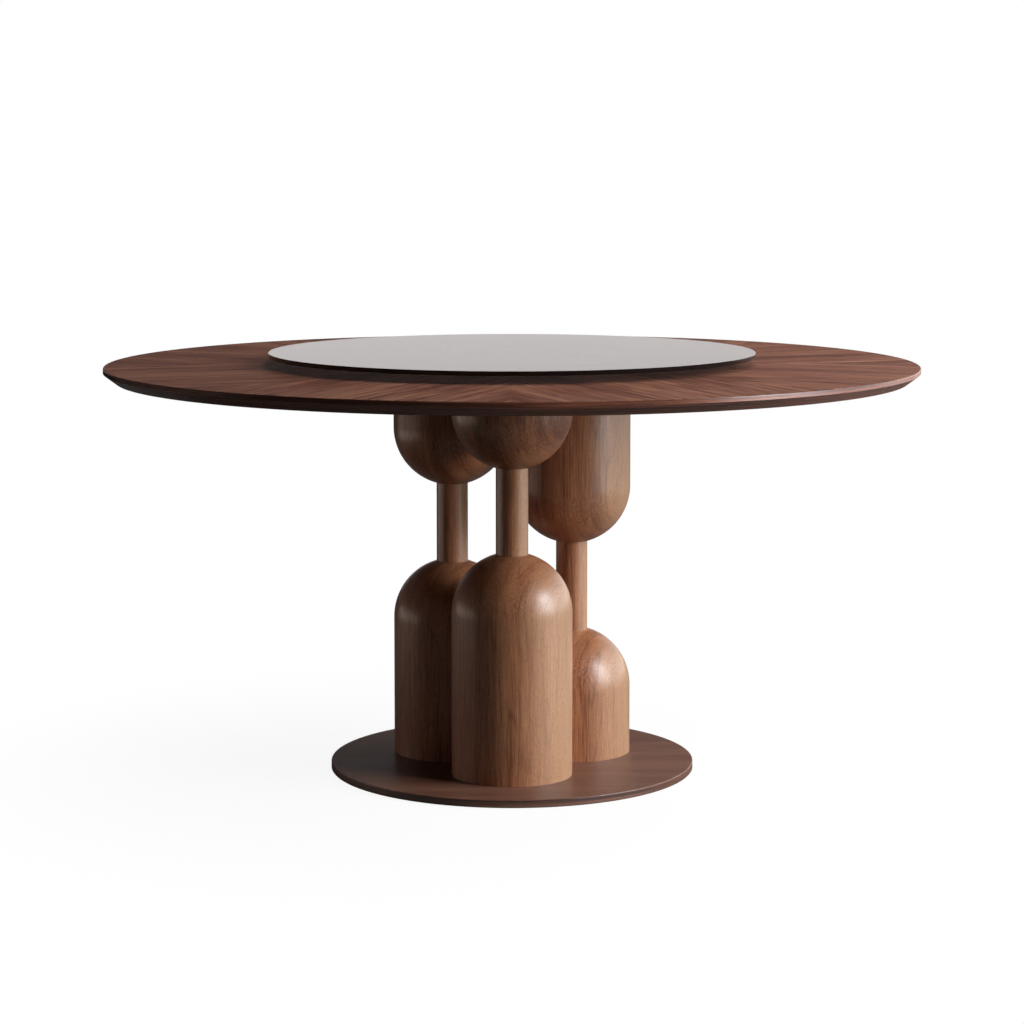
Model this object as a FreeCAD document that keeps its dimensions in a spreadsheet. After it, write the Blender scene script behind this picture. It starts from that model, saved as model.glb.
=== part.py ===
import FreeCAD, Part
import math
import os
import re
import Sketcher

# Round dining table on three turned columns, with a glass turntable on a ball bearing.
# The origin is on the floor under the table's centre, +Z is up and -Y is the front.
# Lengths are in millimetres, angles in degrees, heights are taken from the floor.
SIZES = {
    # table top: a board with a lipped, bevelled rim, veneered on both faces
    "table_height": 755,
    "tabletop_radius": 750,
    "tabletop_thickness": 25,
    "edge_band_height": 8.5,
    "edge_bevel_run": 22,
    "edge_round_radius": 2,
    "lipping_margin": 8,
    "veneer_thickness": 0.6,
    "veneer_seam": 0.1,
    "leaf_count": 8,
    # base disc: a lipped board over a steel weight plate, standing on glides
    "base_height": 15,
    "base_radius": 337.5,
    "base_lipping_width": 12,
    "base_round_radius": 1.5,
    "base_foot_chamfer": 1,
    "weight_plate_thickness": 8,
    "weight_plate_clearance": 0.5,
    "glide_radius": 12,
    "glide_height": 4,
    "glide_proud": 1,
    "glide_margin": 5.5,
    "glide_chamfer": 0.5,
    "glide_count": 6,
    # columns: two hollow domed halves joined by a slim neck
    "front_angle": -90,
    "column_radius": 110,
    "column_wall": 18,
    "column_gap": 5.2,
    "front_upper_length": 158,
    "front_neck_length": 150,
    "right_upper_length": 319,
    "right_neck_length": 160,
    "left_upper_length": 209,
    "left_neck_length": 140,
    "neck_radius": 29.5,
    "neck_chamfer": 1,
    "socket_depth": 20,
    "socket_floor": 10,
    "glue_gap": 0.1,
    "plug_thickness": 18,
    # steel that ties the base, the columns and the top together
    "mounting_plate_thickness": 3,
    "mounting_plate_rim": 22,
    "mounting_plate_clearance": 0.5,
    "rod_radius": 6,
    "rod_clearance": 1,
    "rod_end": 1.5,
    "rod_chamfer": 1,
    "nut_flats": 18,
    "nut_thickness": 7,
    "nut_room": 1.5,
    "washer_radius": 12,
    "washer_thickness": 2.5,
    "wood_screw_radius": 2.5,
    "wood_screw_head_radius": 5,
    "wood_screw_cover": 2,
    "wood_screw_circle": 60,
    "plate_screw_radius": 3,
    "plate_screw_clearance": 0.3,
    "plate_screw_inset": 15,
    "plate_screw_head_radius": 5.25,
    "plate_screw_head_height": 3.3,
    "plate_screw_head_chamfer": 1.6,
    "plate_screw_socket_flats": 4,
    "plate_screw_socket_depth": 2,
    "plate_screw_count": 12,
    "insert_radius": 4.5,
    "insert_length": 12,
    "insert_end_room": 1,
    # turntable: a glass disc on pads, on a bearing of two rings with balls between them
    "glass_radius": 450,
    "glass_thickness": 8,
    "glass_bevel": 1,
    "race_radius": 187.5,
    "race_gap": 2.4,
    "ring_width": 11.3,
    "ring_height": 9,
    "ring_step": 1,
    "ring_chamfer": 0.5,
    "pad_radius": 4.5,
    "pad_height": 3.5,
    "pad_recess": 1,
    "pad_count": 8,
    "ball_radius": 2.5,
    "ball_clearance": 0.3,
    "ball_count": 48,
    "cage_thickness": 1.2,
    "cage_rim": 1,
    "cage_clearance": 0.15,
}

COLUMN_NAMES = ("front", "right", "left")
SCREWS_PER_COLUMN = 3
FULL_TURN = 360

# Heights and radii that follow from the sizes, as expressions in the sheet's names.
TOP_UNDERSIDE = "(table_height - tabletop_thickness)"
CORE_TOP = "(table_height - veneer_thickness)"
CORE_BOTTOM = f"({TOP_UNDERSIDE} + veneer_thickness)"
CORE_RADIUS = "(tabletop_radius - edge_bevel_run - lipping_margin)"
BEVEL_FOOT = "(tabletop_radius - edge_bevel_run)"
BEVEL_RISE = "(tabletop_thickness - edge_band_height)"
BEVEL_AT_CORE = f"({BEVEL_FOOT} + edge_bevel_run * veneer_thickness / {BEVEL_RISE})"

BASE_BOTTOM = "glide_proud"
BOARD_TOP = "(base_height - veneer_thickness)"
BOARD_RADIUS = "(base_radius - base_lipping_width)"
WEIGHT_PLATE_TOP = f"({BASE_BOTTOM} + weight_plate_thickness)"
GLIDE_CIRCLE = f"({BOARD_RADIUS} - glide_radius - glide_margin)"
WEIGHT_PLATE_RADIUS = f"({GLIDE_CIRCLE} - glide_radius - glide_margin)"

HALF_COLUMN_ANGLE = FULL_TURN / len(COLUMN_NAMES) / 2
COLUMN_CIRCLE = f"((column_radius + column_gap / 2) / sin({HALF_COLUMN_ANGLE}))"
COLUMN_BORE = "(column_radius - column_wall)"
CROWN_THICKNESS = "(socket_depth + socket_floor)"
SOCKET_RADIUS = "(neck_radius + glue_gap)"
ROD_HOLE_RADIUS = "(rod_radius + rod_clearance)"

PLATE_TOP = f"({TOP_UNDERSIDE} + mounting_plate_thickness)"
PLATE_RADIUS = f"({COLUMN_CIRCLE} + column_radius + mounting_plate_rim)"
PLATE_RECESS_RADIUS = f"({PLATE_RADIUS} + mounting_plate_clearance)"
PLATE_SCREW_CIRCLE = f"({PLATE_RADIUS} - plate_screw_inset)"
PLATE_SCREW_ANGLE = f"({FULL_TURN} / plate_screw_count / 2)"
PLATE_SCREW_X = f"({PLATE_SCREW_CIRCLE} * cos({PLATE_SCREW_ANGLE}))"
PLATE_SCREW_Y = f"({PLATE_SCREW_CIRCLE} * sin({PLATE_SCREW_ANGLE}))"
INSERT_TOP = f"({PLATE_TOP} + insert_length)"
NUT_SEAT = f"({PLATE_TOP} + washer_thickness)"
ROD_TOP = f"({NUT_SEAT} + nut_thickness + rod_end)"
FOOT_NUT_TOP = f"({WEIGHT_PLATE_TOP} + nut_thickness)"
NUT_POCKET_RADIUS = "(washer_radius + nut_room)"

LOWER_RING_BOTTOM = "(table_height + pad_height - pad_recess)"
UPPER_RING_BOTTOM = f"({LOWER_RING_BOTTOM} + ring_step)"
UPPER_RING_TOP = f"({UPPER_RING_BOTTOM} + ring_height)"
GLASS_BOTTOM = f"({UPPER_RING_TOP} + pad_height - pad_recess)"
BALL_HEIGHT = f"({LOWER_RING_BOTTOM} + (ring_height + ring_step) / 2)"
GROOVE_RADIUS = "(ball_radius + ball_clearance)"
LOWER_RING_INNER = "(race_radius + race_gap / 2)"
LOWER_RING_OUTER = f"({LOWER_RING_INNER} + ring_width)"
UPPER_RING_OUTER = "(race_radius - race_gap / 2)"
UPPER_RING_INNER = f"({UPPER_RING_OUTER} - ring_width)"
GROOVE_HALF_WIDTH = f"(sqrt({GROOVE_RADIUS}^2 - (race_gap / 2)^2))"
POCKET_RADIUS = "(ball_radius + cage_clearance)"
CAGE_HALF_HEIGHT = f"({POCKET_RADIUS} + cage_rim)"

doc = FreeCAD.newDocument("DiningTable")
sheet = doc.addObject("Spreadsheet::Sheet", "Sizes")
for row, (alias, number) in enumerate(SIZES.items(), start=1):
    sheet.set(f"A{row}", alias)
    sheet.set(f"B{row}", str(number))
    sheet.setAlias(f"B{row}", alias)
doc.recompute()


def size(expression):
    """The present value of an expression in the sheet's names."""
    return float(sheet.evalExpression(expression))


def bind(item, name, expression):
    """Tie one property of an object to an expression in the sheet's names."""
    item.setExpression(name, re.sub(r"[a-z]+(?:_[a-z]+)+", r"Sizes.\g<0>", expression))


def new_body(label, angle=None, distance="0"):
    """An empty body, turned about the table's axis and moved out along its own X."""
    body = doc.addObject("PartDesign::Body", "".join(word.title() for word in label.split("_")))
    body.Label = label
    if angle is not None:
        upright = FreeCAD.Vector(0, 0, 1)
        body.Placement = FreeCAD.Placement(FreeCAD.Vector(), FreeCAD.Rotation(upright, size(angle)))
        bind(body, "Placement.Rotation.Angle", angle)
        bind(body, "Placement.Base.x", f"{distance} * cos({angle})")
        bind(body, "Placement.Base.y", f"{distance} * sin({angle})")
    return body


def origin_feature(body, role):
    """One of the body's own origin planes or axes."""
    return next(item for item in body.Origin.OriginFeatures if item.Role == role)


def new_sketch(body, name, plane, shift):
    """A sketch on an origin plane of its body, shifted in the sketch's own axes."""
    sketch = body.newObject("Sketcher::SketchObject", name)
    sketch.AttachmentSupport = [(origin_feature(body, plane), "")]
    sketch.MapMode = "FlatFace"
    for axis, distance in zip("xyz", shift):
        bind(sketch, f"AttachmentOffset.Base.{axis}", distance)
    return sketch


def pin_coordinate(sketch, kind, geometry, point, expression, name):
    """Hold one coordinate of a sketch point at an expression."""
    constraint = sketch.addConstraint(
        Sketcher.Constraint(kind, geometry, point, size(expression)))
    sketch.renameConstraint(constraint, name)
    bind(sketch, f"Constraints.{name}", expression)


def draw_outline(sketch, outline):
    """Draw a closed outline of corners (x, y).

    A corner (x, y, centre x, centre y) starts an arc about that centre to the next corner.
    """
    corners = [tuple(size(text) for text in corner) for corner in outline]
    edges = []
    for corner, following in zip(corners, corners[1:] + corners[:1]):
        start = FreeCAD.Vector(corner[0], corner[1])
        end = FreeCAD.Vector(following[0], following[1])
        if len(corner) == 2:
            edges.append((sketch.addGeometry(Part.LineSegment(start, end)), 1, 2))
            continue
        centre = FreeCAD.Vector(corner[2], corner[3])
        circle = Part.Circle(centre, FreeCAD.Vector(0, 0, 1), (start - centre).Length)
        start_angle = math.atan2(start.y - centre.y, start.x - centre.x)
        end_angle = math.atan2(end.y - centre.y, end.x - centre.x)
        turn = (end_angle - start_angle + math.pi) % (2 * math.pi) - math.pi
        if turn > 0:
            arc = Part.ArcOfCircle(circle, start_angle, start_angle + turn)
            edges.append((sketch.addGeometry(arc), 1, 2))
        else:
            arc = Part.ArcOfCircle(circle, end_angle, end_angle - turn)
            edges.append((sketch.addGeometry(arc), 2, 1))
    for number, (corner, edge) in enumerate(zip(outline, edges)):
        geometry, start_point, end_point = edge
        next_geometry, next_start = edges[(number + 1) % len(edges)][:2]
        sketch.addConstraint(Sketcher.Constraint(
            "Coincident", geometry, end_point, next_geometry, next_start))
        pin_coordinate(sketch, "DistanceX", geometry, start_point, corner[0], f"corner_{number}_x")
        pin_coordinate(sketch, "DistanceY", geometry, start_point, corner[1], f"corner_{number}_y")
        if len(corner) == 4:
            pin_coordinate(sketch, "DistanceX", geometry, 3, corner[2], f"centre_{number}_x")


def turned(body, name, outline, x="0", y="0", cut=False):
    """Turn an outline of (radius, height) corners about the upright line at x, y."""
    sketch = new_sketch(body, f"{name}_outline", "XZ_Plane", (x, "0", f"0 - ({y})"))
    draw_outline(sketch, outline)
    feature = body.newObject("PartDesign::Groove" if cut else "PartDesign::Revolution", name)
    feature.Profile = sketch
    feature.ReferenceAxis = (sketch, ["V_Axis"])
    feature.Angle = FULL_TURN
    body.Tip = feature
    return feature


def extruded(body, name, outline, low, length, x="0"):
    """Pad a plan outline upwards from a height."""
    sketch = new_sketch(body, f"{name}_outline", "XY_Plane", (x, "0", low))
    draw_outline(sketch, outline)
    feature = body.newObject("PartDesign::Pad", name)
    feature.Profile = sketch
    bind(feature, "Length", length)
    body.Tip = feature
    return feature


def cut_down(body, name, outline, high, depth, x="0", y="0"):
    """Cut a plan outline downwards from a height."""
    sketch = new_sketch(body, f"{name}_outline", "XY_Plane", (x, y, high))
    draw_outline(sketch, outline)
    feature = body.newObject("PartDesign::Pocket", name)
    feature.Profile = sketch
    bind(feature, "Length", depth)
    body.Tip = feature
    return feature


def around(body, name, features, count):
    """Repeat features evenly about the body's upright axis."""
    pattern = body.newObject("PartDesign::PolarPattern", name)
    pattern.Originals = features
    pattern.Axis = (origin_feature(body, "Z_Axis"), [""])
    pattern.Angle = FULL_TURN
    bind(pattern, "Occurrences", str(count))
    body.Tip = pattern
    return pattern


def tube(inner, outer, low, high):
    """Section of a plain ring, or of a cylinder if the inner radius is 0."""
    return [(inner, low), (outer, low), (outer, high), (inner, high)]


def cylinder(radius, low, high):
    return tube("0", radius, low, high)


def ball(radius, height):
    """Half section of a sphere on the axis."""
    return [
        ("0", f"{height} - {radius}", "0", height),
        (radius, height, "0", height),
        ("0", f"{height} + {radius}"),
    ]


def hexagon(flats):
    """Plan of a hexagon, by its width across the flats."""
    return [(f"{flats} / sqrt(3) * cos({60 * side})", f"{flats} / sqrt(3) * sin({60 * side})")
            for side in range(6)]


def countersunk(head, tip, inward):
    """Section of a countersunk screw; inward is the sign of the way from its head to its tip."""
    cone_end = f"{head} {inward} (wood_screw_head_radius - wood_screw_radius)"
    return [
        ("0", head),
        ("wood_screw_head_radius", head),
        ("wood_screw_radius", cone_end),
        ("wood_screw_radius", tip),
        ("0", tip),
    ]


def rounded_edge(radius, rounding):
    """Radius at which the rounding of a disc's upper edge crosses the underside of its veneer."""
    return f"({radius} - {rounding} + sqrt({rounding}^2 - ({rounding} - veneer_thickness)^2))"


def rounded_sheet(radius, rounding, foot, low, high):
    """Section of the veneer on a disc, out to its foot on the rounding of the disc's edge."""
    rim = f"({radius} - {rounding})"
    return [("0", low), (foot, low, rim, f"{high} - {rounding}"), (rim, high), ("0", high)]


def column_screws(body, name, outline, cut=False):
    """Screws, or their holes, on a circle about each column's axis."""
    features = []
    for number in range(SCREWS_PER_COLUMN):
        angle = number * FULL_TURN / SCREWS_PER_COLUMN
        features.append(turned(
            body, f"{name}_{number}", outline,
            x=f"{COLUMN_CIRCLE} + wood_screw_circle * cos({angle})",
            y=f"wood_screw_circle * sin({angle})", cut=cut))
    around(body, f"{name}_columns", features, len(COLUMN_NAMES))


def at_columns(body, name, outline, cut=False):
    """One turned feature on the axis of each column."""
    feature = turned(body, name, outline, x=COLUMN_CIRCLE, cut=cut)
    around(body, f"{name}_columns", [feature], len(COLUMN_NAMES))


def at_plate_screws(body, name, outline, cut=False):
    """One turned feature at each screw of the mounting plate; the circle starts beside a column."""
    feature = turned(body, name, outline, x=PLATE_SCREW_X, y=PLATE_SCREW_Y, cut=cut)
    around(body, f"{name}_circle", [feature], "plate_screw_count")


# Table top
TOP_VENEER_EDGE = rounded_edge("tabletop_radius", "edge_round_radius")


def make_tabletop_core():
    body = new_body("tabletop_core", "front_angle")
    turned(body, "core", [
        ("0", PLATE_TOP),
        (PLATE_RECESS_RADIUS, PLATE_TOP),
        (PLATE_RECESS_RADIUS, CORE_BOTTOM),
        (CORE_RADIUS, CORE_BOTTOM),
        (CORE_RADIUS, CORE_TOP),
        ("0", CORE_TOP),
    ])
    at_columns(body, "nut_pocket",
               cylinder(NUT_POCKET_RADIUS, PLATE_TOP, f"{ROD_TOP} + nut_room"), cut=True)
    at_plate_screws(body, "insert_hole",
                    cylinder("insert_radius", PLATE_TOP, f"{INSERT_TOP} + insert_end_room"),
                    cut=True)
    return body


def make_tabletop_veneer():
    """Wedge-shaped leaves, parted by fine seams that meet at the centre, one of them at the front."""
    body = new_body("tabletop_veneer_leaves", "front_angle")
    turned(body, "sheet", rounded_sheet(
        "tabletop_radius", "edge_round_radius", TOP_VENEER_EDGE, CORE_TOP, "table_height"))
    seam = cut_down(body, "seam", [
        ("0", "0 - veneer_seam / 2"),
        ("tabletop_radius", "0 - veneer_seam / 2"),
        ("tabletop_radius", "veneer_seam / 2"),
        ("0", "veneer_seam / 2"),
    ], "table_height", "veneer_thickness")
    around(body, "seams", [seam], "leaf_count")
    return body


def make_underside_veneer():
    body = new_body("tabletop_underside_veneer")
    turned(body, "sheet", [
        (PLATE_RECESS_RADIUS, TOP_UNDERSIDE),
        (BEVEL_FOOT, TOP_UNDERSIDE),
        (BEVEL_AT_CORE, CORE_BOTTOM),
        (PLATE_RECESS_RADIUS, CORE_BOTTOM),
    ])
    return body


def make_tabletop_lipping():
    body = new_body("tabletop_edge_lipping")
    round_centre = ("tabletop_radius - edge_round_radius", "table_height - edge_round_radius")
    turned(body, "lipping", [
        (CORE_RADIUS, CORE_BOTTOM),
        (BEVEL_AT_CORE, CORE_BOTTOM),
        ("tabletop_radius", "table_height - edge_band_height"),
        ("tabletop_radius", "table_height - edge_round_radius", *round_centre),
        (TOP_VENEER_EDGE, CORE_TOP),
        (CORE_RADIUS, CORE_TOP),
    ])
    return body


def make_mounting_plate():
    """Steel disc let into the underside of the top; the columns hang on it by their rods."""
    body = new_body("mounting_plate", "front_angle")
    turned(body, "disc", cylinder(PLATE_RADIUS, TOP_UNDERSIDE, PLATE_TOP))
    at_columns(body, "rod_hole", cylinder(ROD_HOLE_RADIUS, TOP_UNDERSIDE, PLATE_TOP), cut=True)
    at_plate_screws(body, "screw_hole",
                    cylinder("plate_screw_radius + plate_screw_clearance",
                             TOP_UNDERSIDE, PLATE_TOP), cut=True)
    column_screws(body, "head_screw_hole", countersunk(PLATE_TOP, TOP_UNDERSIDE, "-"), cut=True)
    return body


def make_mounting_plate_screws():
    """Button-head screws with a hexagon socket, driven up into the inserts."""
    body = new_body("mounting_plate_screws", "front_angle")
    head_bottom = f"({TOP_UNDERSIDE} - plate_screw_head_height)"
    screw = turned(body, "screw", [
        ("0", head_bottom),
        ("plate_screw_head_radius - plate_screw_head_chamfer", head_bottom),
        ("plate_screw_head_radius", f"{head_bottom} + plate_screw_head_chamfer"),
        ("plate_screw_head_radius", TOP_UNDERSIDE),
        ("plate_screw_radius", TOP_UNDERSIDE),
        ("plate_screw_radius", f"{INSERT_TOP} - insert_end_room"),
        ("0", f"{INSERT_TOP} - insert_end_room"),
    ], x=PLATE_SCREW_X, y=PLATE_SCREW_Y)
    socket = cut_down(
        body, "socket", hexagon("plate_screw_socket_flats"),
        f"{head_bottom} + plate_screw_socket_depth", "plate_screw_socket_depth",
        x=PLATE_SCREW_X, y=PLATE_SCREW_Y)
    around(body, "screws", [screw, socket], "plate_screw_count")
    return body


def make_threaded_inserts():
    body = new_body("threaded_inserts", "front_angle")
    at_plate_screws(body, "insert",
                    tube("plate_screw_radius", "insert_radius", PLATE_TOP, INSERT_TOP))
    return body


# Columns
def column_angle(number):
    return f"(front_angle + {number * FULL_TURN / len(COLUMN_NAMES)})"


def make_column_half(label, angle, flat_end, pole, inward):
    """Hollow turned half: open at its flat end, closed by a hemisphere with a socket in its crown.

    inward is the sign of the way from the pole to the flat end.
    """
    body = new_body(label, angle, COLUMN_CIRCLE)
    outward = "+" if inward == "-" else "-"
    dome_centre = f"({pole} {inward} column_radius)"
    bore_centre = f"({dome_centre} {inward} ({CROWN_THICKNESS} - column_wall))"
    socket_bottom = f"({pole} {inward} socket_depth)"
    turned(body, "shell", [
        (COLUMN_BORE, flat_end),
        ("column_radius", flat_end),
        ("column_radius", dome_centre, "0", dome_centre),
        (SOCKET_RADIUS, f"{dome_centre} {outward} sqrt(column_radius^2 - {SOCKET_RADIUS}^2)"),
        (SOCKET_RADIUS, socket_bottom),
        (ROD_HOLE_RADIUS, socket_bottom),
        (ROD_HOLE_RADIUS,
         f"{bore_centre} {outward} sqrt({COLUMN_BORE}^2 - {ROD_HOLE_RADIUS}^2)", "0", bore_centre),
        (COLUMN_BORE, bore_centre),
    ])
    return body


def make_neck(label, angle, lower_pole, upper_pole):
    """Slim dowel with a bore for the tie rod, glued into the crowns of both halves."""
    body = new_body(label, angle, COLUMN_CIRCLE)
    low = f"({lower_pole} - socket_depth)"
    high = f"({upper_pole} + socket_depth)"
    turned(body, "dowel", [
        (ROD_HOLE_RADIUS, low),
        ("neck_radius - neck_chamfer", low),
        ("neck_radius", f"{low} + neck_chamfer"),
        ("neck_radius", f"{high} - neck_chamfer"),
        ("neck_radius - neck_chamfer", high),
        (ROD_HOLE_RADIUS, high),
    ])
    return body


def make_plug(label, angle, low, high, nut_recess_top=None):
    """Plywood disc that closes the open end of a column half and takes its screws."""
    body = new_body(label, angle, COLUMN_CIRCLE)
    outline = tube(ROD_HOLE_RADIUS, f"{COLUMN_BORE} - glue_gap", low, high)
    if nut_recess_top:
        outline[0:1] = [
            (ROD_HOLE_RADIUS, nut_recess_top),
            (NUT_POCKET_RADIUS, nut_recess_top),
            (NUT_POCKET_RADIUS, low),
        ]
        screw_low, screw_high = low, f"{high} - wood_screw_cover"
    else:
        screw_low, screw_high = f"{low} + wood_screw_cover", high
    turned(body, "disc", outline)
    pilot = turned(body, "pilot_hole", cylinder("wood_screw_radius", screw_low, screw_high),
                   x="wood_screw_circle", cut=True)
    around(body, "pilot_holes", [pilot], SCREWS_PER_COLUMN)
    return body


def make_columns():
    bodies = []
    for number, name in enumerate(COLUMN_NAMES):
        angle = column_angle(number)
        upper_pole = f"({TOP_UNDERSIDE} - {name}_upper_length)"
        lower_pole = f"({upper_pole} - {name}_neck_length)"
        bodies += [
            make_column_half(f"{name}_lower_column", angle, "base_height", lower_pole, "-"),
            make_neck(f"{name}_neck", angle, lower_pole, upper_pole),
            make_column_half(f"{name}_upper_column", angle, TOP_UNDERSIDE, upper_pole, "+"),
            make_plug(f"{name}_foot_plug", angle, "base_height", "(base_height + plug_thickness)",
                      nut_recess_top=f"{FOOT_NUT_TOP} + nut_room"),
            make_plug(f"{name}_head_plug", angle, f"({TOP_UNDERSIDE} - plug_thickness)",
                      TOP_UNDERSIDE),
        ]
    return bodies


def make_tie_rods():
    body = new_body("tie_rods", "front_angle")
    at_columns(body, "rod", [
        ("0", BASE_BOTTOM),
        ("rod_radius", BASE_BOTTOM),
        ("rod_radius", f"{ROD_TOP} - rod_chamfer"),
        ("rod_radius - rod_chamfer", ROD_TOP),
        ("0", ROD_TOP),
    ])
    return body


def make_nuts(label, low):
    body = new_body(label, "front_angle")
    blank = extruded(body, "blank", hexagon("nut_flats"), low, "nut_thickness", x=COLUMN_CIRCLE)
    bore = turned(body, "bore", cylinder("rod_radius", low, f"{low} + nut_thickness"),
                  x=COLUMN_CIRCLE, cut=True)
    around(body, "nuts", [blank, bore], len(COLUMN_NAMES))
    return body


def make_washers():
    body = new_body("tie_rod_washers", "front_angle")
    at_columns(body, "washer", tube(ROD_HOLE_RADIUS, "washer_radius", PLATE_TOP, NUT_SEAT))
    return body


def make_column_screws(label, head, tip, inward):
    body = new_body(label, "front_angle")
    column_screws(body, "screw", countersunk(head, tip, inward))
    return body


# Base
BASE_VENEER_EDGE = rounded_edge("base_radius", "base_round_radius")


def make_base_board():
    body = new_body("base_board", "front_angle")
    recess_radius = f"({WEIGHT_PLATE_RADIUS} + weight_plate_clearance)"
    turned(body, "board", [
        ("0", WEIGHT_PLATE_TOP),
        (recess_radius, WEIGHT_PLATE_TOP),
        (recess_radius, BASE_BOTTOM),
        (BOARD_RADIUS, BASE_BOTTOM),
        (BOARD_RADIUS, BOARD_TOP),
        ("0", BOARD_TOP),
    ])
    at_columns(body, "nut_hole", cylinder(NUT_POCKET_RADIUS, WEIGHT_PLATE_TOP, BOARD_TOP), cut=True)
    column_screws(body, "screw_hole", cylinder("wood_screw_radius", WEIGHT_PLATE_TOP, BOARD_TOP),
                  cut=True)
    recess = turned(body, "glide_recess",
                    cylinder("glide_radius + glue_gap", BASE_BOTTOM, "glide_height"),
                    x=GLIDE_CIRCLE, cut=True)
    around(body, "glide_recesses", [recess], "glide_count")
    return body


def make_base_veneer():
    body = new_body("base_veneer", "front_angle")
    turned(body, "sheet", rounded_sheet(
        "base_radius", "base_round_radius", BASE_VENEER_EDGE, BOARD_TOP, "base_height"))
    at_columns(body, "nut_hole", cylinder(NUT_POCKET_RADIUS, BOARD_TOP, "base_height"), cut=True)
    column_screws(body, "screw_hole", cylinder("wood_screw_radius", BOARD_TOP, "base_height"),
                  cut=True)
    return body


def make_base_lipping():
    body = new_body("base_edge_lipping")
    round_centre = ("base_radius - base_round_radius", "base_height - base_round_radius")
    turned(body, "lipping", [
        (BOARD_RADIUS, BASE_BOTTOM),
        ("base_radius - base_foot_chamfer", BASE_BOTTOM),
        ("base_radius", f"{BASE_BOTTOM} + base_foot_chamfer"),
        ("base_radius", "base_height - base_round_radius", *round_centre),
        (BASE_VENEER_EDGE, BOARD_TOP),
        (BOARD_RADIUS, BOARD_TOP),
    ])
    return body


def make_weight_plate():
    """Steel disc that keeps the table from tipping; the tie rods are screwed into it."""
    body = new_body("base_weight_plate", "front_angle")
    turned(body, "disc", cylinder(WEIGHT_PLATE_RADIUS, BASE_BOTTOM, WEIGHT_PLATE_TOP))
    at_columns(body, "rod_thread", cylinder("rod_radius", BASE_BOTTOM, WEIGHT_PLATE_TOP), cut=True)
    column_screws(body, "screw_hole", countersunk(BASE_BOTTOM, WEIGHT_PLATE_TOP, "+"), cut=True)
    return body


def make_glides():
    body = new_body("floor_glides", "front_angle")
    glide = turned(body, "glide", [
        ("0", "0"),
        ("glide_radius - glide_chamfer", "0"),
        ("glide_radius", "glide_chamfer"),
        ("glide_radius", "glide_height"),
        ("0", "glide_height"),
    ], x=GLIDE_CIRCLE)
    around(body, "glides", [glide], "glide_count")
    return body


# Turntable
def make_glass():
    body = new_body("glass_turntable")
    glass_top = f"({GLASS_BOTTOM} + glass_thickness)"
    turned(body, "disc", [
        ("0", GLASS_BOTTOM),
        ("glass_radius - glass_bevel", GLASS_BOTTOM),
        ("glass_radius", f"{GLASS_BOTTOM} + glass_bevel"),
        ("glass_radius", f"{glass_top} - glass_bevel"),
        ("glass_radius - glass_bevel", glass_top),
        ("0", glass_top),
    ])
    return body


def make_bearing_ring(label, race_side, far_side, low, pad_low, pad_high):
    """Ring with the ball groove in its race side and shallow seats for its pads.

    The far side is the outer one on the lower ring and the inner one on the upper ring.
    """
    body = new_body(label)
    high = f"({low} + ring_height)"
    to_race = "-" if size(far_side) > size(race_side) else "+"
    turned(body, "ring", [
        (race_side, low),
        (f"{far_side} {to_race} ring_chamfer", low),
        (far_side, f"{low} + ring_chamfer"),
        (far_side, f"{high} - ring_chamfer"),
        (f"{far_side} {to_race} ring_chamfer", high),
        (race_side, high),
        (race_side, f"{BALL_HEIGHT} + {GROOVE_HALF_WIDTH}", "race_radius", BALL_HEIGHT),
        (race_side, f"{BALL_HEIGHT} - {GROOVE_HALF_WIDTH}"),
    ])
    seat = turned(body, "pad_seat", cylinder("pad_radius", pad_low, pad_high),
                  x=f"({race_side} + {far_side}) / 2", cut=True)
    around(body, "pad_seats", [seat], "pad_count")
    return body


def make_pads(label, race_side, far_side, low):
    body = new_body(label)
    pad = turned(body, "pad", cylinder("pad_radius", low, f"{low} + pad_height"),
                 x=f"({race_side} + {far_side}) / 2")
    around(body, "pads", [pad], "pad_count")
    return body


def make_ball_cage():
    """Thin ring between the bearing rings that keeps the balls evenly spaced."""
    body = new_body("bearing_ball_cage")
    turned(body, "band", tube(
        "race_radius - cage_thickness / 2", "race_radius + cage_thickness / 2",
        f"{BALL_HEIGHT} - {CAGE_HALF_HEIGHT}", f"{BALL_HEIGHT} + {CAGE_HALF_HEIGHT}"))
    pocket = turned(body, "pocket", ball(POCKET_RADIUS, BALL_HEIGHT), x="race_radius", cut=True)
    around(body, "pockets", [pocket], "ball_count")
    return body


def make_balls():
    body = new_body("bearing_balls")
    first = turned(body, "ball", ball("ball_radius", BALL_HEIGHT), x="race_radius")
    around(body, "balls", [first], "ball_count")
    return body


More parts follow.
